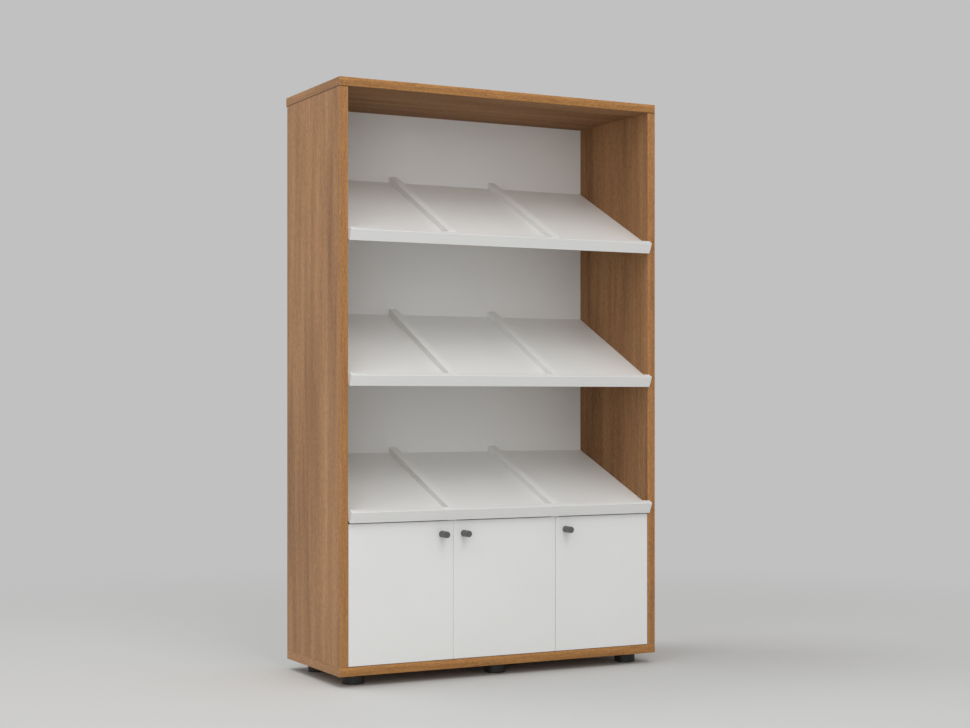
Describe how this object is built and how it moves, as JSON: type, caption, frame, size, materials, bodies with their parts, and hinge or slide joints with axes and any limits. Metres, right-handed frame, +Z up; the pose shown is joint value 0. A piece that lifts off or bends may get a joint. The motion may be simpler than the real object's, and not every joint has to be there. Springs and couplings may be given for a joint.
{
  "type": "periodical display rack",
  "caption": "Free-standing periodical display rack: wood-effect carcass, sloping white shelves with lips and divider strips over a low cupboard with hinged doors.",
  "frame": {"origin": "on the floor, at the middle of the footprint's bounding box", "axes": "+Z up, +X to the right seen from the front, doors and shelf lips face -Y"},
  "size_m": [1, 0.4282, 1.635],
  "materials": {
    "carcass_board": "wood-effect melamine, satin",
    "edge_band": "wood-effect edge band, satin",
    "back_board": "white melamine, matte",
    "white_board": "white melamine, satin",
    "door_board": "white melamine, satin",
    "knob": "dark grey, satin",
    "hinge_steel": "nickel plated",
    "screw_steel": "zinc plated",
    "catch_plastic": "white plastic",
    "foot_plastic": "black plastic, matte",
    "dowel_wood": "raw beech"
  },
  "bodies": {
    "carcass": {"top_panel": "carcass_board", "bottom_panel": "carcass_board", "left_side_panel": "carcass_board", "right_side_panel": "carcass_board", "top_edge_band": "edge_band", "bottom_edge_band": "edge_band", "left_edge_band": "edge_band", "right_edge_band": "edge_band", "back_panel": "back_board", "top_shelf": "white_board", "middle_shelf": "white_board", "bottom_shelf": "white_board", "top_lip": "white_board", "middle_lip": "white_board", "bottom_lip": "white_board", "left_partition": "white_board", "right_partition": "white_board", "top_left_divider": "white_board", "top_right_divider": "white_board", "middle_left_divider": "white_board", "middle_right_divider": "white_board", "bottom_left_divider": "white_board", "bottom_right_divider": "white_board", "hinge_arms": "hinge_steel", "hinge_plates": "hinge_steel", "hinge_arm_screws": "screw_steel", "hardware_screws": "screw_steel", "foot_screws": "screw_steel", "divider_screws": "screw_steel", "carcass_screws": "screw_steel", "back_panel_screws": "screw_steel", "magnetic_catches": "catch_plastic", "top_dowels": "dowel_wood", "shelf_dowels": "dowel_wood", "lip_dowels": "dowel_wood", "front_left_foot": "foot_plastic", "front_middle_foot": "foot_plastic", "front_right_foot": "foot_plastic", "rear_left_foot": "foot_plastic", "rear_middle_foot": "foot_plastic", "rear_right_foot": "foot_plastic"},
    "left_door_leaf": {"left_door": "door_board", "left_knob": "knob", "left_knob_screw": "screw_steel", "left_strike_plate": "hinge_steel", "left_hinge_cups": "hinge_steel", "left_hinge_pins": "hinge_steel"},
    "middle_door_leaf": {"middle_door": "door_board", "middle_knob": "knob", "middle_knob_screw": "screw_steel", "middle_strike_plate": "hinge_steel", "middle_hinge_cups": "hinge_steel", "middle_hinge_pins": "hinge_steel"},
    "right_door_leaf": {"right_door": "door_board", "right_knob": "knob", "right_knob_screw": "screw_steel", "right_strike_plate": "hinge_steel", "right_hinge_cups": "hinge_steel", "right_hinge_pins": "hinge_steel"}
  },
  "joints": [
    {"name": "left_door_hinge", "type": "hinge", "parent": "carcass", "child": "left_door_leaf", "pos_m": [-0.459, -0.17415, 0.2471], "axis": [0, 0, -1], "range_deg": [0, 110]},
    {"name": "middle_door_hinge", "type": "hinge", "parent": "carcass", "child": "middle_door_leaf", "pos_m": [0.1486, -0.17415, 0.2471], "axis": [0, 0, 1], "range_deg": [0, 110]},
    {"name": "right_door_hinge", "type": "hinge", "parent": "carcass", "child": "right_door_leaf", "pos_m": [0.459, -0.17415, 0.2471], "axis": [0, 0, 1], "range_deg": [0, 110]}
  ]
}
